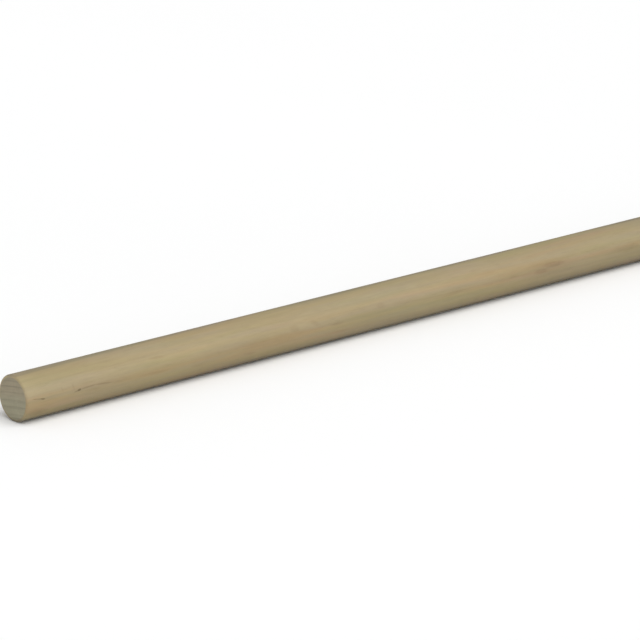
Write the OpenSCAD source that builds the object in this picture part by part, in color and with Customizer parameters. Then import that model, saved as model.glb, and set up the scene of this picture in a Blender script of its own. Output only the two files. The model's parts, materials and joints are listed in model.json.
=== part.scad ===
// Plain wooden dowel rod: one turned length of hardwood with sawn, eased ends.
// The rod lies along X with its middle at the origin and +Z up. Sizes are in millimetres.

/* [Rod] */
// Diameter of the round shank, a three-quarter inch stock size
rod_d = 19.05; // [6:0.05:50]
// Overall length from end face to end face, a three foot stock length
rod_length = 914.4; // [100:0.1:2400]

/* [End easing] */
// Radius of the round that eases the edge of the near end, at -X
near_ease_r = 0.8; // [0.2:0.1:2.5]
// Radius of the round that eases the edge of the far end, at +X
far_ease_r = 0.8; // [0.2:0.1:2.5]

/* [Hidden] */

rod_r = rod_d / 2;
// Overshoot that keeps the cutter's outer sides off the faces it trims
overcut = 0.5;
$fn = 180;

// Sliver between a square outer corner and its quarter round.
// The corner sits at the 2D origin and the material lies towards -X and +Y.
module corner_sliver(ease_r) {
    difference() {
        translate([-ease_r, -overcut])
            square([ease_r + overcut, ease_r + overcut]);
        translate([-ease_r, ease_r])
            circle(r = ease_r);
    }
}

// Half section of the rod: radius along X, length along Y, both outer corners eased.
module half_section() {
    difference() {
        square([rod_r, rod_length]);
        translate([rod_r, 0])
            corner_sliver(near_ease_r);
        translate([rod_r, rod_length])
            mirror([0, 1])
                corner_sliver(far_ease_r);
    }
}

// The whole rod: the half section revolved about its centre line and laid along X.
module dowel_rod() {
    color("burlywood")
        translate([-rod_length / 2, 0, 0])
            rotate([0, 90, 0])
                rotate_extrude()
                    half_section();
}

dowel_rod();
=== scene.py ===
"""Wooden dowel rod: one length of bare, sanded hardwood with sawn and eased ends.

The rod lies along X on a pale studio floor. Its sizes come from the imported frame, and its looks,
which are the grain, the growth rings, the small flaws and the sawn ends, are worked out here.
All lengths are in metres unless a name ends in _mm.
"""

import json
import logging
import math
from dataclasses import dataclass
from enum import Enum
from typing import Any

import bpy
import numpy as np
from mathutils import Matrix, Vector


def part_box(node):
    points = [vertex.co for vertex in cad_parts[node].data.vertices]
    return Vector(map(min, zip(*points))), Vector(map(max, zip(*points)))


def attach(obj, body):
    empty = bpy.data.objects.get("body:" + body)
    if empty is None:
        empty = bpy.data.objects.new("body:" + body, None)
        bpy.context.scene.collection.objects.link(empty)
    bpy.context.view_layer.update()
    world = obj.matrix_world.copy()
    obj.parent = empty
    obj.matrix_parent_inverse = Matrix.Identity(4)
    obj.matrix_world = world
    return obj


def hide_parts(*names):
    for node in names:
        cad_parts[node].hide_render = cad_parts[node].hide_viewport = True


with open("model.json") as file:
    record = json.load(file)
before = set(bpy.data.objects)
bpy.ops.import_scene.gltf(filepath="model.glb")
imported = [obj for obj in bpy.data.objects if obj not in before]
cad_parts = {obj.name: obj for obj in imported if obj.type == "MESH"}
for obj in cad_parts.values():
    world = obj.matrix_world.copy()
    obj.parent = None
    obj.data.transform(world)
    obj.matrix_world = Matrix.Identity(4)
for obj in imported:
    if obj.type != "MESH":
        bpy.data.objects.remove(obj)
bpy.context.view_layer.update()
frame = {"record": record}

LOG = logging.getLogger("dowel_rod")
MM = 0.001
FULL_TURN = 2 * math.pi
NODE_NAME = "dowel_rod"
BODY_NAME = "root"

ALONG_ROD = (1.0, 0.0, 0.0)
ACROSS_ROD = (0.0, 1.0, 1.0)
FORWARD = (0.0, -1.0, 0.0)
UPWARD = (0.0, 0.0, 1.0)
NO_RUN = -1.0

# Places of the colour sockets on Blender's mix node, where names are shared by other sockets.
MIX_SHARE = 0
MIX_COLOURS = (6, 7)
MIX_RESULT = 2

Colour = tuple[float, float, float]
Triple = tuple[float, float, float]
Socket = bpy.types.NodeSocket
Input = Socket | float | tuple[float, ...]


class End(Enum):
    """Which end of the rod is meant; the value is its side of the middle."""

    NEAR = -1
    FAR = 1


class FlawKind(Enum):
    """What a small flaw in the surface is."""

    PIN_KNOT = "pin knot"
    DARK_DASH = "dark dash"
    STREAK = "mineral streak"
    SMUDGE = "smudge"

    @property
    def crisp(self) -> bool:
        """Whether such a flaw is brown with a crisp edge, and not a soft shadow."""
        return self in (FlawKind.PIN_KNOT, FlawKind.DARK_DASH)


@dataclass(frozen=True)
class RodSizes:
    """Sizes of the rod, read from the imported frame."""

    radius: float
    half_length: float
    ease: float

    @classmethod
    def from_frame(cls, record: dict[str, Any]) -> "RodSizes":
        """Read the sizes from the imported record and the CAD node.

        Args:
            record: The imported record, which states the round side as a mount.

        Returns:
            The rod's sizes in metres.
        """
        shank = next(mount for mount in record["mounts"] if mount["name"] == "shank")
        low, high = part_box(NODE_NAME)
        length = high.x - low.x
        return cls(
            radius=shank["dims"]["r_mm"] * MM,
            half_length=length / 2,
            ease=(length - shank["dims"]["length_mm"] * MM) / 2,
        )

    @property
    def radius_mm(self) -> float:
        """Radius of the rod in millimetres."""
        return self.radius / MM

    @property
    def half_length_mm(self) -> float:
        """Half the length of the rod in millimetres."""
        return self.half_length / MM

    @property
    def flat_radius(self) -> float:
        """Radius of the flat of each end face, inside its eased edge."""
        return self.radius - self.ease

    def surface_point_mm(self, from_near_end_mm: float, around_deg: float) -> Vector:
        """Find a point on the rod's round side.

        Args:
            from_near_end_mm: Distance along the rod from its near end.
            around_deg: Angle up from the front of the rod.

        Returns:
            The point in the rod's frame, in millimetres.
        """
        around = math.radians(around_deg)
        along_mm = from_near_end_mm - self.half_length_mm
        outward = Vector((0.0, -math.cos(around), math.sin(around)))
        return Vector((along_mm, 0.0, 0.0)) + outward * self.radius_mm


@dataclass(frozen=True)
class GrowthLine:
    """One dark line where a year's growth ended.

    The height is measured across the rings from the rod's centre line. The line starts sharply at
    that height and fades downwards over its width. Its depth is its strength, from 0 to 1.
    """

    height_mm: float
    width_mm: float
    depth: float


@dataclass(frozen=True)
class GrainWave:
    """One slow wave of the rings along the rod."""

    rise_mm: float
    length_mm: float
    phase: float


@dataclass(frozen=True)
class Flaw:
    """A small mark in the round side of the rod.

    It runs between two places, each given by its distance from the near end and by its angle up
    from the front of the rod. Its depth is how dark it is, where 1 is the full tint of its kind.
    """

    kind: FlawKind
    start_mm: float
    start_deg: float
    end_mm: float
    end_deg: float
    width_mm: float
    depth: float


@dataclass(frozen=True)
class GrainLayout:
    """How the growth rings cross the rod, shared by the relief and the finish.

    Heights are measured across the rings from the rod's centre line. The zone is the darker wood
    on the pith side, and the lower band below it darkens the side further towards the bottom.
    Beyond the top and bottom shade heights the colour holds painted shade, along the rod's top
    and bottom edges as it lies.
    """

    tilt_deg: float = 10.5
    pith_distance_mm: float = 120.0
    zone_top_mm: float = 4.05
    zone_bottom_mm: float = -1.55
    # A band that darkens the side towards the bottom of the rod as it lies.
    lower_dark_top_mm: float = -4.0
    lower_dark_bottom_mm: float = -8.1
    # Painted shade along the rod's top and bottom edges starts at these two heights.
    top_shade_mm: float = 9.12
    bottom_shade_mm: float = -7.75
    edge_blur_mm: float = 0.45
    line_edge_mm: float = 0.14
    waves: tuple[GrainWave, ...] = (
        GrainWave(0.32, 610.0, 0.9),
        GrainWave(0.17, 233.0, 2.2),
        GrainWave(0.07, 87.0, 4.1),
    )
    lines: tuple[GrowthLine, ...] = (
        GrowthLine(7.6, 0.9, 0.60),
        GrowthLine(5.35, 0.8, 1.00),
        GrowthLine(3.0, 0.9, 0.55),
        GrowthLine(-0.2, 1.2, 0.65),
        GrowthLine(-2.8, 1.2, 0.80),
        GrowthLine(-6.0, 0.9, 0.60),
        GrowthLine(-7.4, 1.3, 1.00),
    )

    def across(self) -> Vector:
        """Unit direction across the rings, from the pith side outwards."""
        tilt = math.radians(self.tilt_deg)
        return Vector((0.0, math.sin(tilt), math.cos(tilt)))

    def along_ring(self) -> Vector:
        """Unit direction along the rings, towards the front of the rod."""
        tilt = math.radians(self.tilt_deg)
        return Vector((0.0, -math.cos(tilt), math.sin(tilt)))

    def stops(self, radius_mm: float) -> list[tuple[float, float]]:
        """Turn the growth lines into the stops of a ramp across the section.

        Args:
            radius_mm: Radius of the rod, which sets the ramp's span.

        Returns:
            Pairs of place on the ramp, from 0 to 1, and darkness, from 0 to 1, in order.
        """
        found = []
        for line in sorted(self.lines, key=lambda item: item.height_mm):
            top = line.height_mm
            found.append((top - line.width_mm, 0.0))
            found.append((top, line.depth))
            found.append((top + self.line_edge_mm, 0.0))
        places = [((place + radius_mm) / (2 * radius_mm), dark) for place, dark in found]
        return [(0.0, 0.0)] + [(place, dark) for place, dark in places if 0.0 < place < 1.0]

    def ring_heights(self, points_mm: np.ndarray) -> np.ndarray:
        """Work out how high in the rings each point lies.

        Args:
            points_mm: Points in the rod's frame, one to a row, in millimetres.

        Returns:
            The height of each point across the rings in millimetres.
        """
        height = points_mm @ np.array(self.across())
        beside = points_mm @ np.array(self.along_ring())
        height = height + beside**2 / (2 * self.pith_distance_mm)
        for wave in self.waves:
            turn = FULL_TURN / wave.length_mm
            height = height + wave.rise_mm * np.sin(turn * points_mm[:, 0] + wave.phase)
        return height

    def darkness(self, points_mm: np.ndarray, radius_mm: float) -> np.ndarray:
        """Work out how much of a growth line each point holds.

        Args:
            points_mm: Points in the rod's frame, one to a row, in millimetres.
            radius_mm: Radius of the rod.

        Returns:
            The darkness of each point, from 0 between the lines to 1 on the strongest.
        """
        places, dark = zip(*self.stops(radius_mm))
        where = (self.ring_heights(points_mm) + radius_mm) / (2 * radius_mm)
        return np.interp(where, places, dark)


@dataclass(frozen=True)
class Mottle:
    """One layer of noise in a finish.

    The size is that of its features along each axis, in the units of the place that it is read at.
    The detail is how many finer layers it has, the rough is how strong each of them is, and the
    amount is how much the whole layer counts.
    """

    size: Triple
    detail: float = 0.0
    rough: float = 0.5
    amount: float = 1.0


@dataclass(frozen=True)
class Step:
    """A smooth step: where it starts and ends, and its results there."""

    low: float
    high: float
    out_low: float = 0.0
    out_high: float = 1.0


class Wiring:
    """Adds nodes to one node tree and joins them with short calls."""

    def __init__(self, tree: bpy.types.NodeTree) -> None:
        """Keep the tree that the nodes go into.

        Args:
            tree: The node tree of a material or of the world.
        """
        self.tree = tree

    def node(self, kind: str, **settings: Any) -> bpy.types.Node:
        """Add a node and set its options.

        Args:
            kind: Blender's name for the kind of node.
            settings: The node's options by name.

        Returns:
            The new node.
        """
        made = self.tree.nodes.new(kind)
        for name, value in settings.items():
            setattr(made, name, value)
        return made

    def feed(self, socket: Socket, value: Input) -> None:
        """Join a socket to another one, or give it a fixed value.

        Args:
            socket: The socket that takes the value.
            value: Another node's output, a number or a tuple of numbers.
        """
        if isinstance(value, bpy.types.NodeSocket):
            self.tree.links.new(value, socket)
        else:
            socket.default_value = value

    def _joined(self, made: bpy.types.Node, inputs: tuple[Input, ...], output: str) -> Socket:
        """Feed a node's first inputs in order and name its output.

        Args:
            made: The node.
            inputs: What its first inputs take.
            output: Name of the output that is wanted.

        Returns:
            That output.
        """
        for socket, value in zip(made.inputs, inputs):
            self.feed(socket, value)
        return made.outputs[output]

    def math(self, operation: str, *inputs: Input, clamp: bool = False) -> Socket:
        """Add a sum on plain numbers.

        Args:
            operation: Blender's name for the sum.
            inputs: Its numbers in order.
            clamp: Whether the result is kept between 0 and 1.

        Returns:
            The result.
        """
        made = self.node("ShaderNodeMath", operation=operation, use_clamp=clamp)
        return self._joined(made, inputs, "Value")

    def vector(self, operation: str, *inputs: Input) -> Socket:
        """Add a sum on vectors that gives a vector.

        Args:
            operation: Blender's name for the sum.
            inputs: Its vectors in order.

        Returns:
            The result.
        """
        made = self.node("ShaderNodeVectorMath", operation=operation)
        return self._joined(made, inputs, "Vector")

    def measure(self, operation: str, *inputs: Input) -> Socket:
        """Add a sum on vectors that gives a number.

        Args:
            operation: Blender's name for the sum.
            inputs: Its vectors in order.

        Returns:
            The result.
        """
        made = self.node("ShaderNodeVectorMath", operation=operation)
        return self._joined(made, inputs, "Value")

    def combined(self, *parts: Input) -> Socket:
        """Join three numbers into a vector.

        Args:
            parts: The numbers.

        Returns:
            The vector.
        """
        return self._joined(self.node("ShaderNodeCombineXYZ"), parts, "Vector")

    def largest(self, *parts: Socket) -> Socket:
        """Find the largest of several numbers.

        Args:
            parts: The numbers.

        Returns:
            The largest one.
        """
        result = parts[0]
        for part in parts[1:]:
            result = self.math("MAXIMUM", result, part)
        return result

    def noise(self, place: Socket, layer: Mottle) -> Socket:
        """Add a noise whose average is zero.

        Args:
            place: Where the noise is read.
            layer: Its size and detail.

        Returns:
            A number from about -1 to 1, before the layer's amount.
        """
        made = self.node("ShaderNodeTexNoise", noise_dimensions="3D")
        self.feed(made.inputs["Vector"], self.vector("DIVIDE", place, layer.size))
        self.feed(made.inputs["Scale"], 1.0)
        self.feed(made.inputs["Detail"], layer.detail)
        self.feed(made.inputs["Roughness"], layer.rough)
        return self.math("MULTIPLY_ADD", made.outputs[0], 2.0, -1.0)

    def mottled(self, base: Input, place: Socket, *layers: Mottle) -> Socket:
        """Add layers of noise to a number, each by its own amount.

        Args:
            base: The number.
            place: Where the noise is read.
            layers: The layers, one or more.

        Returns:
            The number with the noise in it.
        """
        for layer in layers:
            base = self.math("MULTIPLY_ADD", self.noise(place, layer), layer.amount, base)
        return base

    def step(self, value: Input, step: Step) -> Socket:
        """Add a smooth step between two values.

        Args:
            value: The number that is read.
            step: Where the step lies and what it gives.

        Returns:
            The result.
        """
        made = self.node("ShaderNodeMapRange", interpolation_type="SMOOTHSTEP", clamp=True)
        inputs = (value, step.low, step.high, step.out_low, step.out_high)
        return self._joined(made, inputs, "Result")

    def ramp(self, value: Socket, stops: list[tuple[float, float]]) -> Socket:
        """Add a ramp of grey values.

        Args:
            value: The place on the ramp, from 0 to 1.
            stops: Places and values in order.

        Returns:
            The value at that place.
        """
        made = self.node("ShaderNodeValToRGB")
        elements = made.color_ramp.elements
        elements[0].position, elements[1].position = stops[0][0], stops[-1][0]
        for place, _ in stops[1:-1]:
            elements.new(place)
        for element, (_, grey) in zip(elements, stops):
            element.color = (grey, grey, grey, 1.0)
        self.feed(made.inputs["Fac"], value)
        return made.outputs["Color"]

    def blend(self, share: Input, first: Input, second: Input) -> Socket:
        """Add a mix of two colours.

        Args:
            share: How much of the second colour is in the mix, from 0 to 1.
            first: The first colour.
            second: The second colour.

        Returns:
            The mixed colour.
        """
        made = self.node("ShaderNodeMix", data_type="RGBA", blend_type="MIX", clamp_factor=True)
        self.feed(made.inputs[MIX_SHARE], share)
        for place, colour in zip(MIX_COLOURS, (first, second)):
            fixed = isinstance(colour, tuple)
            self.feed(made.inputs[place], (*colour, 1.0) if fixed else colour)
        return made.outputs[MIX_RESULT]

    def tint(self, colour: Socket, factors: Colour, share: Input) -> Socket:
        """Multiply a colour by another one, by as much as a share says.

        Args:
            colour: The colour that changes.
            factors: What its red, green and blue are multiplied by.
            share: How far the change goes, from 0 to 1.

        Returns:
            The changed colour.
        """
        return self.blend(share, colour, self.vector("MULTIPLY", colour, factors))

    def shade(self, colour: Socket, tone: Socket) -> Socket:
        """Multiply a colour by a number.

        Args:
            colour: The colour that changes.
            tone: What it is multiplied by.

        Returns:
            The changed colour.
        """
        return self.vector("MULTIPLY", colour, self.combined(tone, tone, tone))


def towards_front(azimuth_deg: float, elevation_deg: float) -> Vector:
    """Find the unit direction from the rod to something in front of it.

    Args:
        azimuth_deg: How far to the right of straight in front it is.
        elevation_deg: How far above the level it is.

    Returns:
        The direction.
    """
    side, up = math.radians(azimuth_deg), math.radians(elevation_deg)
    return Vector((math.sin(side) * math.cos(up), -math.cos(side) * math.cos(up), math.sin(up)))


def new_material(name: str) -> tuple[bpy.types.Material, bpy.types.Node]:
    """Make a material with nodes.

    Args:
        name: Its name.

    Returns:
        The material and its shader.
    """
    made = bpy.data.materials.new(name)
    made.use_nodes = True
    return made, made.node_tree.nodes["Principled BSDF"]


def put_in_scene(name: str, data: bpy.types.ID) -> bpy.types.Object:
    """Make an object and put it in the scene.

    Args:
        name: Its name.
        data: Its mesh, lamp or camera data.

    Returns:
        The object.
    """
    made = bpy.data.objects.new(name, data)
    bpy.context.scene.collection.objects.link(made)
    return made


@dataclass(frozen=True)
class WoodPlace:
    """A place in the wood, as sockets that the finishes read, and the rod that it belongs to.

    The place is in the rod's own millimetres, and the grain is the same place told along the rod,
    beside the rings and up through them. Out is the distance from the rod's centre line. The lines,
    the zone and the pores run from 0 to 1, and the fibres from about -1 to 1.
    """

    wires: Wiring
    sizes: RodSizes
    layout: GrainLayout
    place: Socket
    grain: Socket
    along: Socket
    out: Socket
    height: Socket
    lines: Socket
    zone: Socket
    fibres: Socket
    pores: Socket


@dataclass(frozen=True)
class GrainFigure:
    """The figure of the wood: ragged growth lines, darker wood, fine fibres and open pores."""

    ragged_line: Mottle = Mottle((14.0, 0.7, 0.7), 2.0, 0.6, 0.16)
    ragged_zone: Mottle = Mottle((75.0, 2.2, 2.0), 2.0, 0.6, 1.1)
    coarse_fibres: Mottle = Mottle((38.0, 0.75, 0.5), 2.0, 0.6, 0.6)
    fine_fibres: Mottle = Mottle((13.0, 0.26, 0.22), 1.0, 0.5, 0.5)
    pores: Mottle = Mottle((3.4, 0.24, 0.24))
    pore_patches: Mottle = Mottle((30.0, 2.6, 1.1), 1.0, 0.5, 0.16)
    open_pore: Step = Step(0.36, 0.56)

    def read(self, wires: Wiring, sizes: RodSizes, layout: GrainLayout) -> WoodPlace:
        """Find where a place lies in the rod and in its grain, and what the wood is like there.

        Args:
            wires: The material's wiring.
            sizes: The rod's sizes.
            layout: How the growth rings cross the rod.

        Returns:
            What the finishes read.
        """
        coordinates = wires.node("ShaderNodeTexCoord").outputs["Object"]
        place = wires.vector("MULTIPLY", coordinates, (1 / MM,) * 3)
        along = wires.measure("DOT_PRODUCT", place, ALONG_ROD)
        beside = wires.measure("DOT_PRODUCT", place, tuple(layout.along_ring()))
        height = wires.measure("DOT_PRODUCT", place, tuple(layout.across()))
        height = self._bent(wires, height, along, beside, layout)
        grain = wires.combined(along, beside, height)
        line_height = wires.mottled(height, grain, self.ragged_line)
        zone_height = wires.mottled(height, grain, self.ragged_zone)
        across_rod = wires.math("MULTIPLY_ADD", line_height, 0.5 / sizes.radius_mm, 0.5)
        pores = wires.mottled(wires.noise(grain, self.pores), grain, self.pore_patches)
        return WoodPlace(
            wires=wires,
            sizes=sizes,
            layout=layout,
            place=place,
            grain=grain,
            along=along,
            out=wires.measure("LENGTH", wires.vector("MULTIPLY", place, ACROSS_ROD)),
            height=height,
            lines=wires.ramp(across_rod, layout.stops(sizes.radius_mm)),
            zone=wires.step(zone_height, Step(layout.zone_top_mm, layout.zone_bottom_mm)),
            fibres=wires.mottled(0.0, grain, self.coarse_fibres, self.fine_fibres),
            pores=wires.step(pores, self.open_pore),
        )

    def _bent(
        self, wires: Wiring, height: Socket, along: Socket, beside: Socket, layout: GrainLayout
    ) -> Socket:
        """Bend a height across the rings as the rings are bent, as GrainLayout.ring_heights does.

        Args:
            wires: The material's wiring.
            height: The straight height of a place, in millimetres.
            along: How far it is along the rod.
            beside: How far it is along the rings.
            layout: How the growth rings cross the rod.

        Returns:
            How high in the rings the place lies, in millimetres.
        """
        square = wires.math("MULTIPLY", beside, beside)
        height = wires.math("MULTIPLY_ADD", square, 0.5 / layout.pith_distance_mm, height)
        for wave in layout.waves:
            turn = wires.math("MULTIPLY_ADD", along, FULL_TURN / wave.length_mm, wave.phase)
            height = wires.math("MULTIPLY_ADD", wires.math("SINE", turn), wave.rise_mm, height)
        return height


@dataclass(frozen=True)
class SideFinish:
    """Colour of the rod's round side, before its flaws and its painted rim highlights.

    The colours after the pale one are tints, which multiply it. The tones are added to 1 and
    multiply the whole colour. The falloff is painted shade: the side is lightest at the ends and
    darkens towards the middle, as if the light fell off along the rod.
    """

    pale: Colour = (0.335, 0.270, 0.166)
    zone: Colour = (0.855, 0.853, 0.827)
    # Tint of the band that darkens the side towards the bottom of the rod.
    lower_dark: Colour = (0.84, 0.845, 0.87)
    # Painted shade: the tint that darkens the rod's top and bottom edges as it lies.
    edge_shade: Colour = (0.79, 0.83, 0.91)
    line: Colour = (0.955, 0.95, 0.945)
    rosy: Colour = (1.045, 0.975, 0.965)
    green: Colour = (0.965, 1.005, 0.98)
    straw: Colour = (1.01, 1.0, 0.88)
    hue: Mottle = Mottle((68.0, 6.0, 4.2), 2.0, 0.55)
    rosy_hue: Step = Step(0.0, 0.4)
    green_hue: Step = Step(0.0, -0.4)
    yellow: Mottle = Mottle((46.0, 4.8, 3.4), 2.0, 0.55)
    straw_yellow: Step = Step(-0.4, 0.4)
    line_patches: Mottle = Mottle((48.0, 3.0, 1.8), 2.0, 0.5)
    broken_line: Step = Step(-0.45, 0.4, 0.1, 0.9)
    streaks: Mottle = Mottle((95.0, 2.4, 1.1), 3.0, 0.6, 0.065)
    clouds: Mottle = Mottle((30.0, 5.0, 4.0), 2.0, 0.55, 0.07)
    flecks: Mottle = Mottle((7.0, 1.3, 1.0), 2.0, 0.6, 0.07)
    fibre_tone: float = 0.045
    pore_tone: float = -0.05
    # Painted shade: the side darkens away from each end, as if the light fell off along the rod.
    falloff_shade: float = 0.04
    falloff_length_mm: float = 900.0
    falloff_phase: float = 3.19

    def colour(self, wood: WoodPlace) -> Socket:
        """Mix the side's colour.

        Args:
            wood: The place in the wood.

        Returns:
            The colour.
        """
        wires, layout = wood.wires, wood.layout
        hue = wires.noise(wood.grain, self.hue)
        yellow = wires.noise(wood.grain, self.yellow)
        broken = wires.step(wires.noise(wood.grain, self.line_patches), self.broken_line)
        darker = tuple(pale * zone for pale, zone in zip(self.pale, self.zone))
        colour = wires.blend(wood.zone, self.pale, darker)
        for factors, share in (
            (self.rosy, wires.step(hue, self.rosy_hue)),
            (self.green, wires.step(hue, self.green_hue)),
            (self.straw, wires.step(yellow, self.straw_yellow)),
            (self.lower_dark, wires.step(wood.height, Step(layout.lower_dark_top_mm, layout.lower_dark_bottom_mm))),
            # Painted shade along the rod's top and bottom edges.
            (self.edge_shade, self._edge_shade_share(wood)),
            (self.line, wires.math("MULTIPLY", wood.lines, broken)),
        ):
            colour = wires.tint(colour, factors, share)
        return wires.shade(colour, self._tone(wood))

    def _edge_shade_share(self, wood: WoodPlace) -> Socket:
        """Find how far a place is into the painted shade along the rod's top or bottom edge.

        Args:
            wood: The place in the wood.

        Returns:
            The share, from 0 to 1.
        """
        wires, layout = wood.wires, wood.layout
        blur = layout.edge_blur_mm / 2
        top_shade = wires.step(wood.height, Step(layout.top_shade_mm - blur, layout.top_shade_mm + blur))
        bottom_shade = wires.step(wood.height, Step(layout.bottom_shade_mm + blur, layout.bottom_shade_mm - blur))
        return wires.math("ADD", top_shade, bottom_shade)

    def _tone(self, wood: WoodPlace) -> Socket:
        """Find how light or dark a place is.

        Args:
            wood: The place in the wood.

        Returns:
            What the colour is multiplied by, about 1.
        """
        wires = wood.wires
        # Painted shade that darkens the side away from its ends.
        per_mm = FULL_TURN / self.falloff_length_mm
        turn = wires.math("MULTIPLY_ADD", wood.along, per_mm, self.falloff_phase)
        fall = wires.math("SUBTRACT", wires.math("COSINE", turn), 1.0)
        tone = wires.math("MULTIPLY_ADD", fall, self.falloff_shade, 1.0)
        tone = wires.mottled(tone, wood.grain, self.streaks, self.clouds, self.flecks)
        tone = wires.math("MULTIPLY_ADD", wood.fibres, self.fibre_tone, tone)
        return wires.math("MULTIPLY_ADD", wood.pores, self.pore_tone, tone)


@dataclass(frozen=True)
class FlawFinish:
    """Tints of the small flaws in the round side, and how their edges break up."""

    brown: Colour = (0.50, 0.46, 0.42)
    smudged: Colour = (0.84, 0.795, 0.775)
    crisp_edge: float = 0.6
    soft_edge: float = 0.75
    shiver: Mottle = Mottle((1.8, 0.45, 0.45), 3.0, 0.65)
    shiver_mm: Triple = (0.4, 0.2, 0.2)
    threads: Mottle = Mottle((2.6, 0.14, 0.14), 1.0)
    broken_thread: Step = Step(-0.5, 0.3, 0.6, 1.15)

    def laid_on(self, colour: Socket, wood: WoodPlace, flaws: tuple[Flaw, ...]) -> Socket:
        """Lay the flaws on the side's colour, the soft ones first.

        Args:
            colour: The side's colour.
            wood: The place in the wood.
            flaws: The flaws.

        Returns:
            The colour with the flaws in it.
        """
        wires = wood.wires
        shiver = wires.vector("MULTIPLY", wires.noise(wood.place, self.shiver), self.shiver_mm)
        shifted = wires.vector("ADD", wood.place, shiver)
        broken = wires.step(wires.noise(wood.place, self.threads), self.broken_thread)
        for factors, crisp in ((self.smudged, False), (self.brown, True)):
            chosen = [flaw for flaw in flaws if flaw.kind.crisp is crisp]
            shares = [self._spindle(wires, shifted, wood.sizes, flaw) for flaw in chosen]
            share = wires.math("MULTIPLY", wires.largest(*shares), broken, clamp=True)
            colour = wires.tint(colour, factors, share)
        return colour

    def _spindle(self, wires: Wiring, place: Socket, sizes: RodSizes, flaw: Flaw) -> Socket:
        """Find how far a place is inside one flaw, which is a long spindle in the surface.

        Args:
            wires: The material's wiring.
            place: The place in millimetres.
            sizes: The rod's sizes.
            flaw: The flaw.

        Returns:
            The flaw's strength at the place, from 0 to its depth.
        """
        first = sizes.surface_point_mm(flaw.start_mm, flaw.start_deg)
        last = sizes.surface_point_mm(flaw.end_mm, flaw.end_deg)
        run = last - first
        half_width = flaw.width_mm / 2
        half_run = run.length / 2 + half_width
        mapped = wires.node("ShaderNodeMapping", vector_type="TEXTURE")
        wires.feed(mapped.inputs["Vector"], place)
        wires.feed(mapped.inputs["Location"], tuple((first + last) / 2))
        wires.feed(mapped.inputs["Rotation"], tuple(run.to_track_quat("X", "Z").to_euler()))
        wires.feed(mapped.inputs["Scale"], (half_run, half_width, half_width))
        inside = wires.node("ShaderNodeTexGradient", gradient_type="SPHERICAL")
        wires.feed(inside.inputs["Vector"], mapped.outputs["Vector"])
        edge = self.crisp_edge if flaw.kind.crisp else self.soft_edge
        return wires.step(inside.outputs["Fac"], Step(0.0, edge, 0.0, flaw.depth))


@dataclass(frozen=True)
class RimHighlight:
    """Painted highlight at the ends: paler colour on the eased edges and on a little of the side.

    On the side it grows between two distances from the end face, up to its side share. On the edge
    it grows between two distances in from the round side.
    """

    # Painted highlight: the tint that lightens the rims.
    fresh: Colour = (1.11, 1.11, 1.16)
    side_share: float = 0.4
    side_start_mm: float = 8.0
    side_full_mm: float = 1.0
    edge_start_mm: float = 0.05
    edge_full_mm: float = 0.3

    def share(self, wood: WoodPlace) -> Socket:
        """Find how much painted highlight a place takes.

        Args:
            wood: The place in the wood.

        Returns:
            The share, from 0 to 1.
        """
        wires = wood.wires
        face_mm, out_mm = wood.sizes.half_length_mm, wood.sizes.radius_mm
        side = Step(face_mm - self.side_start_mm, face_mm - self.side_full_mm, 0.0, self.side_share)
        edge = Step(out_mm - self.edge_start_mm, out_mm - self.edge_full_mm)
        on_side = wires.step(wires.math("ABSOLUTE", wood.along), side)
        return wires.math("MAXIMUM", on_side, wires.step(wood.out, edge))


@dataclass(frozen=True)
class EndFinish:
    """Colour of the sawn end grain, with its rays, open pores, fine bands and grime.

    It grows over the width of its edge, inwards from where the flat of the face starts.
    """

    upper: Colour = (0.308, 0.267, 0.186)
    lower: Colour = (0.312, 0.288, 0.202)
    edge_mm: float = 0.45
    ragged_edge: Mottle = Mottle((0.9, 0.9, 0.9), 1.0, 0.5, 0.1)
    rays: Mottle = Mottle((40.0, 0.24, 4.5), 1.0, 0.5)
    ray_tone: Step = Step(0.08, 0.5, 1.0, 1.06)
    pores: Mottle = Mottle((9.0, 0.2, 0.2), 1.0, 0.6)
    pore_tone: Step = Step(0.16, 0.5, 0.0, -0.16)
    bands: Mottle = Mottle((60.0, 7.0, 0.55), 2.0, 0.6, 0.13)
    grime: Mottle = Mottle((9.0, 3.2, 3.2), 3.0, 0.6, 0.09)
    line_tone: float = -0.24

    def share(self, wood: WoodPlace) -> Socket:
        """Find how much end grain shows at a place: none on the side, all on the sawn faces.

        Args:
            wood: The place in the wood.

        Returns:
            The share, from 0 to 1.
        """
        out = wood.wires.mottled(wood.out, wood.place, self.ragged_edge)
        flat_mm = wood.sizes.flat_radius / MM
        return wood.wires.step(out, Step(flat_mm, flat_mm - self.edge_mm))

    def colour(self, wood: WoodPlace) -> Socket:
        """Mix the colour of the end grain.

        Args:
            wood: The place in the wood.

        Returns:
            The colour.
        """
        wires = wood.wires
        tone = wires.step(wires.noise(wood.grain, self.rays), self.ray_tone)
        pores = wires.step(wires.noise(wood.grain, self.pores), self.pore_tone)
        tone = wires.math("ADD", tone, pores)
        tone = wires.mottled(tone, wood.grain, self.bands)
        tone = wires.mottled(tone, wood.place, self.grime)
        tone = wires.math("MULTIPLY_ADD", wood.lines, self.line_tone, tone)
        return wires.shade(wires.blend(wood.zone, self.upper, self.lower), tone)


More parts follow.
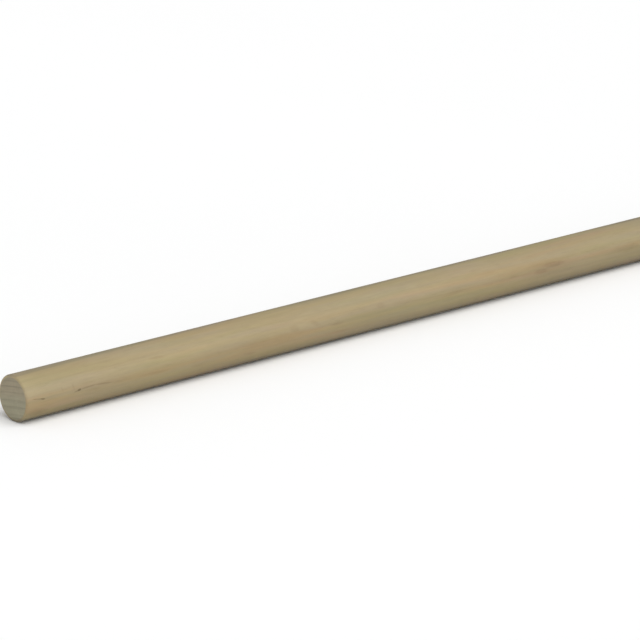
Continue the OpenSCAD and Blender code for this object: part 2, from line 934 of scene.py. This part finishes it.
@dataclass(frozen=True)
class SawnEnd:
    """How an end was sawn: faint arcs of a large round blade."""

    blade_radius_mm: float = 118.0
    blade_from_deg: float = 205.0
    pitch_mm: float = 0.92
    depth_mm: float = 0.012

    def blade_centre_mm(self) -> Triple:
        """Centre of the blade's arcs, beside the rod."""
        angle = math.radians(self.blade_from_deg)
        return (0.0, self.blade_radius_mm * math.cos(angle), self.blade_radius_mm * math.sin(angle))

    def sunk_mm(self, points_mm: np.ndarray) -> np.ndarray:
        """Work out how deep the saw's arcs lie at points on an end face.

        Args:
            points_mm: Points in the rod's frame, one to a row, in millimetres.

        Returns:
            The depth at each point in millimetres, never negative.
        """
        away = (points_mm - np.array(self.blade_centre_mm()))[:, 1:]
        reach = np.hypot(away[:, 0], away[:, 1])
        return self.depth_mm * (0.5 + 0.5 * np.sin(FULL_TURN * reach / self.pitch_mm))


@dataclass(frozen=True)
class Sanding:
    """The slow unevenness that sanding leaves on the round side, as a sum of waves."""

    depth_mm: float = 0.014
    waves: int = 14
    shortest_mm: float = 22.0
    longest_mm: float = 190.0
    most_lobes: int = 8
    seed: int = 11

    def sunk_mm(self, points_mm: np.ndarray) -> np.ndarray:
        """Work out how deep the sanding went at points on the round side.

        Args:
            points_mm: Points in the rod's frame, one to a row, in millimetres.

        Returns:
            The depth at each point in millimetres, never negative.
        """
        draw = np.random.default_rng(self.seed)
        around = np.arctan2(points_mm[:, 2], points_mm[:, 1])
        total = np.zeros(len(points_mm))
        for _ in range(self.waves):
            length_mm = draw.uniform(self.shortest_mm, self.longest_mm)
            lobes = int(draw.integers(1, self.most_lobes + 1))
            phase = draw.uniform(0.0, FULL_TURN)
            total += np.sin(FULL_TURN * points_mm[:, 0] / length_mm + lobes * around + phase)
        level = np.clip(total / math.sqrt(2 * self.waves), -1.0, 1.0)
        return self.depth_mm * (0.5 + 0.5 * level)


@dataclass(frozen=True)
class WoodFinish:
    """Bare sanded hardwood, from its colour down to the fibres.

    The bump is in shares of its depth: the fibres and the saw's arcs stand up, the pores are sunk.
    """

    name: str = "bare_hardwood"
    figure: GrainFigure = GrainFigure()
    side: SideFinish = SideFinish()
    flaw: FlawFinish = FlawFinish()
    rim: RimHighlight = RimHighlight()
    end: EndFinish = EndFinish()
    side_roughness: float = 0.66
    end_roughness: float = 0.78
    fibre_roughness: float = 0.07
    line_roughness: float = -0.05
    specular: float = 0.2
    bump_mm: float = 0.03
    fibre_bump: float = 0.5
    pore_bump: float = -0.8
    saw_bump: float = 0.35
    torn_end: Mottle = Mottle((4.0, 0.22, 0.22), 2.0, 0.6, 1.2)

    def material(
        self, sizes: RodSizes, layout: GrainLayout, flaws: tuple[Flaw, ...], saw: SawnEnd
    ) -> bpy.types.Material:
        """Make the wood's material.

        Args:
            sizes: The rod's sizes.
            layout: How the growth rings cross it.
            flaws: The small marks in its side.
            saw: How its ends were sawn.

        Returns:
            The material.
        """
        made, shader = new_material(self.name)
        made.diffuse_color = (*self.side.pale, 1.0)
        wires = Wiring(made.node_tree)
        wood = self.figure.read(wires, sizes, layout)
        side = self.flaw.laid_on(self.side.colour(wood), wood, flaws)
        # Painted highlight on the eased edges and on the side next to the ends.
        side = wires.tint(side, self.rim.fresh, self.rim.share(wood))
        end_share = self.end.share(wood)
        colour = wires.blend(end_share, side, self.end.colour(wood))
        wires.feed(shader.inputs["Base Color"], colour)
        wires.feed(shader.inputs["Roughness"], self._roughness(wood, end_share))
        wires.feed(shader.inputs["Specular IOR Level"], self.specular)
        wires.feed(shader.inputs["Normal"], self._bump(wood, end_share, saw))
        return made

    def _roughness(self, wood: WoodPlace, end_share: Socket) -> Socket:
        """Vary the roughness with the fibres, the growth lines and the end grain.

        Args:
            wood: The place in the wood.
            end_share: Share of end grain.

        Returns:
            The roughness.
        """
        wires = wood.wires
        rise = self.end_roughness - self.side_roughness
        side = wires.math("MULTIPLY_ADD", wood.fibres, self.fibre_roughness, self.side_roughness)
        side = wires.math("MULTIPLY_ADD", wood.lines, self.line_roughness, side)
        return wires.math("MULTIPLY_ADD", end_share, rise, side, clamp=True)

    def _bump(self, wood: WoodPlace, end_share: Socket, saw: SawnEnd) -> Socket:
        """Raise the fibres, sink the pores and score the sawn ends.

        Args:
            wood: The place in the wood.
            end_share: Share of end grain.
            saw: How the ends were sawn.

        Returns:
            The bumped normal.
        """
        wires = wood.wires
        side = wires.math("MULTIPLY", wood.fibres, self.fibre_bump)
        side = wires.math("MULTIPLY_ADD", wood.pores, self.pore_bump, side)
        away = wires.vector("SUBTRACT", wood.place, saw.blade_centre_mm())
        reach = wires.measure("LENGTH", wires.vector("MULTIPLY", away, ACROSS_ROD))
        arcs = wires.math("SINE", wires.math("MULTIPLY", reach, FULL_TURN / saw.pitch_mm))
        end = wires.mottled(wires.math("MULTIPLY", arcs, self.saw_bump), wood.place, self.torn_end)
        rise = wires.math("SUBTRACT", end, side)
        bump = wires.node("ShaderNodeBump")
        wires.feed(bump.inputs["Strength"], 1.0)
        wires.feed(bump.inputs["Distance"], self.bump_mm * MM)
        wires.feed(bump.inputs["Height"], wires.math("MULTIPLY_ADD", end_share, rise, side))
        return bump.outputs["Normal"]


@dataclass(frozen=True)
class Profile:
    """The rings of the lathed form from the near face to the far one, one item to a ring.

    A ring's normal has a part along the rod and one away from its axis. The run is the length of
    the profile out from the face's centre, or NO_RUN on the straight side.
    """

    along: np.ndarray
    radius: np.ndarray
    facing_along: np.ndarray
    facing_out: np.ndarray
    run: np.ndarray


@dataclass(frozen=True)
class RodMap:
    """The unrolled rod on its square map: two strips for the side and two discs for the ends.

    The seam, where the unrolling starts, is an angle round the rod, and all sizes are shares of the
    map's side.
    """

    name: str = "OFBake"
    seam_deg: float = -60.0
    strip_height: float = 0.405
    disc_radius: float = 0.079
    near_disc_across: float = 0.12
    far_disc_across: float = 0.37
    margin: float = 0.004

    def angle(self, turn: np.ndarray | float) -> np.ndarray | float:
        """Angle round the rod's axis at a share of a turn from the seam."""
        return FULL_TURN * turn + math.radians(self.seam_deg)

    def on_strip(self, end: End, out: float, turn: float) -> tuple[float, float]:
        """Place a point of the round side on its half's strip.

        Args:
            end: The half of the rod.
            out: How far the point is from the middle of the rod, where the end is 1.
            turn: The share of a turn from the seam to it.

        Returns:
            The place on the map.
        """
        across = self.margin + out * (1 - 2 * self.margin)
        bottom = self.margin if end is End.NEAR else 2 * self.margin + self.strip_height
        return across, bottom + self.strip_height * turn

    def on_disc(self, end: End, out: float, turn: float) -> tuple[float, float]:
        """Place a point of an end on its disc.

        Args:
            end: The end of the rod.
            out: How far the point is from the face's centre, where the round side is 1.
            turn: The share of a turn from the seam to it.

        Returns:
            The place on the map.
        """
        across = self.near_disc_across if end is End.NEAR else self.far_disc_across
        level = 1 - self.disc_radius - 2 * self.margin
        radius, angle = self.disc_radius * out, self.angle(turn)
        return across + end.value * radius * math.cos(angle), level + radius * math.sin(angle)


@dataclass(frozen=True)
class DowelRod:
    """The rod itself: a turned length of wood with a fine relief and its own unrolled map."""

    sizes: RodSizes
    layout: GrainLayout = GrainLayout()
    saw: SawnEnd = SawnEnd()
    sanding: Sanding = Sanding()
    unrolled: RodMap = RodMap()
    name: str = "dowel_rod_wood"
    around: int = 144
    stations: int = 456
    face_rings: int = 24
    ease_steps: int = 8
    line_relief_mm: float = 0.012

    def build(self) -> bpy.types.Object:
        """Build the rod's mesh with its map.

        Returns:
            The rod as a new object in the scene.
        """
        profile = self._profile()
        points = self._swept(profile.along, profile.radius, self.sizes.half_length)
        normals = self._swept(profile.facing_along, profile.facing_out, 1.0)
        points -= normals * self._relief_mm(points / MM, normals)[:, None] * MM
        mesh = bpy.data.meshes.new(self.name)
        mesh.from_pydata(points.tolist(), [], self._faces(len(profile.along)))
        mesh.update()
        mesh.polygons.foreach_set("use_smooth", np.ones(len(mesh.polygons), bool))
        self._unroll(mesh, profile)
        return put_in_scene(self.name, mesh)

    def dress(self, rod: bpy.types.Object, finish: WoodFinish, flaws: tuple[Flaw, ...]) -> None:
        """Finish the rod, say what it moves with, and hide the CAD node that it stands for.

        Args:
            rod: The rod as built.
            finish: The wood's finish.
            flaws: The small marks in its side.
        """
        rod.data.materials.append(finish.material(self.sizes, self.layout, flaws, self.saw))
        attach(rod, BODY_NAME)
        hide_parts(NODE_NAME)

    def _profile(self) -> Profile:
        """Lay out the rings: the near face, its eased edge, the straight side and the far end.

        Returns:
            The rings.
        """
        sizes = self.sizes
        flat = sizes.flat_radius * np.arange(1, self.face_rings + 1) / self.face_rings
        turn = math.pi / 2 * np.arange(1, self.ease_steps + 1) / self.ease_steps
        sin, cos = np.sin(turn), np.cos(turn)
        face = self._rings(-sizes.half_length, flat, -1.0, 0.0, flat)
        ease = self._rings(
            -sizes.half_length + sizes.ease * (1 - cos),
            sizes.flat_radius + sizes.ease * sin,
            -cos,
            sin,
            sizes.flat_radius + sizes.ease * turn,
        )
        mirror = self._rings(-1.0, 1.0, -1.0, 1.0, 1.0)
        near = np.hstack((face, ease))
        far = near[:, ::-1] * mirror[:, None]
        straight = np.linspace(near[0, -1], far[0, 0], self.stations + 1)[1:-1]
        side = self._rings(straight, sizes.radius, 0.0, 1.0, NO_RUN)
        return Profile(*np.hstack((near, side, far)))

    @staticmethod
    def _rings(*values: np.ndarray | float) -> np.ndarray:
        """Lay the values of some rings in rows, in the order of Profile's fields."""
        return np.array(np.broadcast_arrays(*values))

    def _swept(self, along: np.ndarray, out: np.ndarray, at_centre: float) -> np.ndarray:
        """Turn the rings about the rod's axis.

        Args:
            along: Each ring's part along the axis.
            out: Its part away from the axis.
            at_centre: The part along the axis at the centre of the far face.

        Returns:
            One vector to a row, ring by ring, with the centres of the near and far faces last.
        """
        angles = self.unrolled.angle(np.arange(self.around) / self.around)
        outward = np.column_stack((np.zeros(self.around), np.cos(angles), np.sin(angles)))
        axis = np.array(ALONG_ROD)
        rings = along[:, None, None] * axis + out[:, None, None] * outward
        return np.vstack((rings.reshape(-1, 3), -at_centre * axis, at_centre * axis))

    def _relief_mm(self, points_mm: np.ndarray, normals: np.ndarray) -> np.ndarray:
        """Work out how far each point is sunk below the true form.

        Args:
            points_mm: The points, one to a row, in millimetres.
            normals: Their normals.

        Returns:
            The depth at each point in millimetres, never negative.
        """
        dark = self.layout.darkness(points_mm, self.sizes.radius_mm)
        side = self.line_relief_mm * (1.0 - dark) + self.sanding.sunk_mm(points_mm)
        end_share = np.abs(normals[:, 0])
        return side * (1.0 - end_share) + self.saw.sunk_mm(points_mm) * end_share

    def _faces(self, rings: int) -> list[tuple[int, ...]]:
        """Join the points into faces.

        Args:
            rings: Number of rings in the form.

        Returns:
            The quads ring by ring, and then the fans of the near face and of the far one.
        """
        pairs = [(spoke, (spoke + 1) % self.around) for spoke in range(self.around)]
        starts = [ring * self.around for ring in range(rings)]
        near_centre = rings * self.around
        last = starts[-1]
        faces: list[tuple[int, ...]] = []
        for here, there in zip(starts, starts[1:]):
            faces += [(here + one, here + two, there + two, there + one) for one, two in pairs]
        faces += [(near_centre, two, one) for one, two in pairs]
        faces += [(near_centre + 1, last + one, last + two) for one, two in pairs]
        return faces

    def _unroll(self, mesh: bpy.types.Mesh, profile: Profile) -> None:
        """Unroll the rod onto its map.

        Args:
            mesh: The rod's mesh.
            profile: The rings of the form.
        """
        disc_run = self.sizes.flat_radius + math.pi / 2 * self.sizes.ease
        turns = [(spoke / self.around, (spoke + 1) / self.around) for spoke in range(self.around)]
        places: list[tuple[float, float]] = []
        for first in range(len(profile.along) - 1):
            along, run = profile.along[first : first + 2], profile.run[first : first + 2]
            end = End.NEAR if along.sum() < 0 else End.FAR
            on_side = run.min() < 0
            lay = self.unrolled.on_strip if on_side else self.unrolled.on_disc
            out, next_out = np.abs(along) / self.sizes.half_length if on_side else run / disc_run
            for one, two in turns:
                quad = ((out, one), (out, two), (next_out, two), (next_out, one))
                places += [lay(end, *corner) for corner in quad]
        rim = profile.run[0] / disc_run
        for end, order in ((End.NEAR, -1), (End.FAR, 1)):
            for pair in turns:
                fan = ((0.0, pair[0]), *((rim, turn) for turn in pair[::order]))
                places += [self.unrolled.on_disc(end, *corner) for corner in fan]
        layer = mesh.uv_layers.new(name=self.unrolled.name)
        layer.data.foreach_set("uv", np.array(places, np.float32).ravel())


@dataclass(frozen=True)
class FloorFinish:
    """Matt pale studio paper, very slightly mottled."""

    name: str = "pale_paper"
    colour: Colour = (0.945, 0.945, 0.945)
    dimmest: float = 0.99
    mottle: Mottle = Mottle((0.35, 0.35, 0.35), 2.0)
    dim_patch: Step = Step(-0.6, 0.6)
    roughness: float = 0.9
    specular: float = 0.1

    def material(self) -> bpy.types.Material:
        """Make the floor's material.

        Returns:
            The material.
        """
        made, shader = new_material(self.name)
        wires = Wiring(made.node_tree)
        place = wires.node("ShaderNodeTexCoord").outputs["Object"]
        share = wires.step(wires.noise(place, self.mottle), self.dim_patch)
        dimmer = tuple(self.dimmest * part for part in self.colour)
        wires.feed(shader.inputs["Base Color"], wires.blend(share, self.colour, dimmer))
        wires.feed(shader.inputs["Roughness"], self.roughness)
        wires.feed(shader.inputs["Specular IOR Level"], self.specular)
        return made


@dataclass(frozen=True)
class StudioFloor:
    """The flat floor that the rod lies on."""

    level: float
    half_size: float = 40.0
    finish: FloorFinish = FloorFinish()

    def build(self) -> bpy.types.Object:
        """Build and dress the floor.

        Returns:
            The floor as a new object in the scene.
        """
        sides = ((-1, -1), (1, -1), (1, 1), (-1, 1))
        corners = [(x * self.half_size, y * self.half_size, 0.0) for x, y in sides]
        mesh = bpy.data.meshes.new("studio_floor")
        mesh.from_pydata(corners, [], [(0, 1, 2, 3)])
        mesh.update()
        mesh.materials.append(self.finish.material())
        floor = put_in_scene("studio_floor", mesh)
        floor.location.z = self.level
        return floor


@dataclass(frozen=True)
class StudioLight:
    """Soft light from all round, and a broad lamp in front of the rod."""

    horizon: Colour = (1.0, 0.995, 0.975)
    zenith: Colour = (0.62, 0.625, 0.63)
    overhead: Step = Step(0.0, 0.9)
    sky_strength: float = 0.885
    front_share: float = 0.3
    lamp_strength: float = 0.53
    lamp_spread_deg: float = 60.0
    lamp_azimuth_deg: float = 12.0
    lamp_elevation_deg: float = 56.0
    lamp_distance: float = 3.0

    def build(self) -> bpy.types.Object:
        """Light the scene.

        Returns:
            The lamp.
        """
        self._sky()
        data = bpy.data.lights.new("front_lamp", "SUN")
        data.energy = self.lamp_strength * math.pi
        data.angle = math.radians(self.lamp_spread_deg)
        towards = towards_front(self.lamp_azimuth_deg, self.lamp_elevation_deg)
        lamp = put_in_scene("front_lamp", data)
        lamp.rotation_euler = towards.to_track_quat("Z", "Y").to_euler()
        lamp.location = towards * self.lamp_distance
        return lamp

    def _sky(self) -> None:
        """Light the surroundings: brightest at the horizon in front, and dimmer overhead."""
        world = bpy.data.worlds.new("studio_surround")
        world.use_nodes = True
        bpy.context.scene.world = world
        wires = Wiring(world.node_tree)
        towards = wires.node("ShaderNodeTexCoord").outputs["Generated"]
        upward = wires.measure("DOT_PRODUCT", towards, UPWARD)
        forward = wires.measure("DOT_PRODUCT", towards, FORWARD)
        colour = wires.blend(wires.step(upward, self.overhead), self.horizon, self.zenith)
        level = wires.math("MULTIPLY_ADD", forward, self.front_share, 1.0)
        strength = wires.math("MULTIPLY", level, self.sky_strength)
        background = world.node_tree.nodes["Background"]
        wires.feed(background.inputs["Color"], colour)
        wires.feed(background.inputs["Strength"], strength)


@dataclass(frozen=True)
class ProductCamera:
    """The camera, beyond the near end and a little above the rod."""

    azimuth_deg: float = -40.4206
    elevation_deg: float = 17.412
    place: Triple = (-1.230717, -1.092429, 0.450104)
    focal_length_mm: float = 203.519
    sensor_mm: float = 36.0
    nearest: float = 0.01
    furthest: float = 200.0

    def build(self) -> bpy.types.Object:
        """Make the camera and use it.

        Returns:
            The camera.
        """
        data = bpy.data.cameras.new("product_camera")
        data.sensor_width = self.sensor_mm
        data.lens = self.focal_length_mm
        data.clip_start = self.nearest
        data.clip_end = self.furthest
        data.dof.use_dof = False
        camera = put_in_scene("product_camera", data)
        azimuth = math.radians(self.azimuth_deg)
        back = towards_front(self.azimuth_deg, self.elevation_deg)
        right = Vector((math.cos(azimuth), math.sin(azimuth), 0.0))
        turned = Matrix((right, back.cross(right), back)).transposed().to_4x4()
        camera.matrix_world = Matrix.Translation(self.place) @ turned
        bpy.context.scene.camera = camera
        bpy.context.scene.view_settings.view_transform = "Standard"
        return camera


NEAR_FRONT_FLAWS = (
    Flaw(FlawKind.DARK_DASH, 2.4, 9.0, 7.2, 4.2, 0.8, 0.42),
    Flaw(FlawKind.DARK_DASH, 5.8, 5.8, 8.8, 2.4, 0.8, 0.80),
    Flaw(FlawKind.DARK_DASH, 22.6, 0.2, 25.2, 2.8, 0.9, 0.40),
    Flaw(FlawKind.PIN_KNOT, 24.5, 2.3, 25.8, 3.9, 1.15, 1.00),
    Flaw(FlawKind.DARK_DASH, 25.4, 3.8, 34.0, 6.2, 0.9, 0.38),
    Flaw(FlawKind.DARK_DASH, 32.0, 6.2, 43.0, 0.4, 0.95, 0.36),
    Flaw(FlawKind.STREAK, 41.0, -0.4, 52.0, -1.4, 1.5, 0.41),
    Flaw(FlawKind.STREAK, 54.0, -2.4, 72.0, -3.4, 1.8, 0.51),
    Flaw(FlawKind.SMUDGE, 28.5, -5.0, 36.5, -6.0, 1.8, 0.37),
    Flaw(FlawKind.SMUDGE, 22.2, 21.0, 22.8, 7.0, 1.2, 0.51),
    Flaw(FlawKind.SMUDGE, 16.8, 20.0, 17.4, 9.0, 1.2, 0.41),
    Flaw(FlawKind.STREAK, 60.0, 34.0, 70.0, 31.0, 1.6, 0.48),
    Flaw(FlawKind.SMUDGE, 0.0, -25.0, 10.0, -33.0, 5.5, 0.68),
    Flaw(FlawKind.SMUDGE, 80.5, -11.0, 89.0, -12.5, 2.2, 0.41),
    Flaw(FlawKind.SMUDGE, 108.0, -15.5, 115.0, -17.5, 1.8, 0.54),
    Flaw(FlawKind.SMUDGE, 134.0, 20.0, 137.0, 16.0, 4.2, 0.44),
    Flaw(FlawKind.SMUDGE, 144.6, 24.5, 148.4, 13.0, 3.2, 0.41),
    Flaw(FlawKind.STREAK, 154.0, 4.0, 162.5, 2.5, 2.2, 0.51),
    Flaw(FlawKind.STREAK, 152.0, -18.4, 166.0, -19.6, 1.8, 0.48),
    Flaw(FlawKind.SMUDGE, 181.0, 22.0, 184.2, 19.5, 3.8, 0.41),
    Flaw(FlawKind.STREAK, 186.0, 13.2, 214.0, 10.0, 1.1, 0.44),
    Flaw(FlawKind.SMUDGE, 216.0, 1.0, 231.5, 8.6, 2.4, 0.37),
    Flaw(FlawKind.SMUDGE, 255.5, 10.0, 261.5, 8.5, 2.4, 0.27),
    Flaw(FlawKind.SMUDGE, 270.5, 3.2, 279.5, 2.0, 4.0, 0.95),
    Flaw(FlawKind.SMUDGE, 274.5, 15.0, 290.0, 11.8, 3.8, 1.05),
    Flaw(FlawKind.SMUDGE, 264.0, 6.0, 294.0, 4.0, 9.0, 0.30),
    Flaw(FlawKind.STREAK, 318.0, 5.0, 336.0, 9.0, 3.6, 0.37),
)

FAR_FRONT_FLAWS = (
    Flaw(FlawKind.STREAK, 392.0, 31.0, 452.0, 30.0, 1.0, 0.54),
    Flaw(FlawKind.SMUDGE, 474.0, 6.0, 486.0, 5.0, 2.8, 0.54),
    Flaw(FlawKind.PIN_KNOT, 541.0, 64.0, 542.2, 64.0, 0.8, 0.80),
    Flaw(FlawKind.STREAK, 520.0, 65.0, 578.0, 63.5, 0.9, 0.44),
    Flaw(FlawKind.DARK_DASH, 688.0, 12.0, 694.0, 11.0, 0.5, 0.50),
    Flaw(FlawKind.STREAK, 760.0, -8.0, 838.0, -9.5, 1.2, 0.54),
)

BACK_FLAWS = (
    Flaw(FlawKind.STREAK, 96.0, 148.0, 164.0, 150.0, 1.1, 0.54),
    Flaw(FlawKind.PIN_KNOT, 311.0, 171.0, 312.3, 171.4, 0.9, 0.85),
    Flaw(FlawKind.DARK_DASH, 457.0, 196.0, 463.5, 197.0, 0.5, 0.50),
    Flaw(FlawKind.STREAK, 596.0, 183.0, 668.0, 184.5, 1.0, 0.54),
    Flaw(FlawKind.SMUDGE, 803.0, 160.0, 811.0, 160.0, 2.8, 0.54),
    Flaw(FlawKind.STREAK, 205.0, 262.0, 281.0, 264.0, 1.1, 0.48),
    Flaw(FlawKind.DARK_DASH, 733.0, 281.0, 739.0, 280.0, 0.5, 0.50),
)


def main() -> None:
    """Build the studio and the rod, and report each piece."""
    logging.basicConfig(level=logging.INFO, format="%(name)s: %(message)s")
    sizes = RodSizes.from_frame(frame["record"])
    camera = ProductCamera().build()
    LOG.info("camera %s at %s", camera.name, tuple(round(part, 3) for part in camera.location))
    floor = StudioFloor(level=-sizes.radius).build()
    LOG.info("floor %s at %.4f m", floor.name, floor.location.z)
    lamp = StudioLight().build()
    LOG.info("lamp %s", lamp.name)
    maker = DowelRod(sizes)
    rod = maker.build()
    maker.dress(rod, WoodFinish(), NEAR_FRONT_FLAWS + FAR_FRONT_FLAWS + BACK_FLAWS)
    LOG.info("piece %s with %d faces", rod.name, len(rod.data.polygons))


if __name__ == "__main__":
    main()
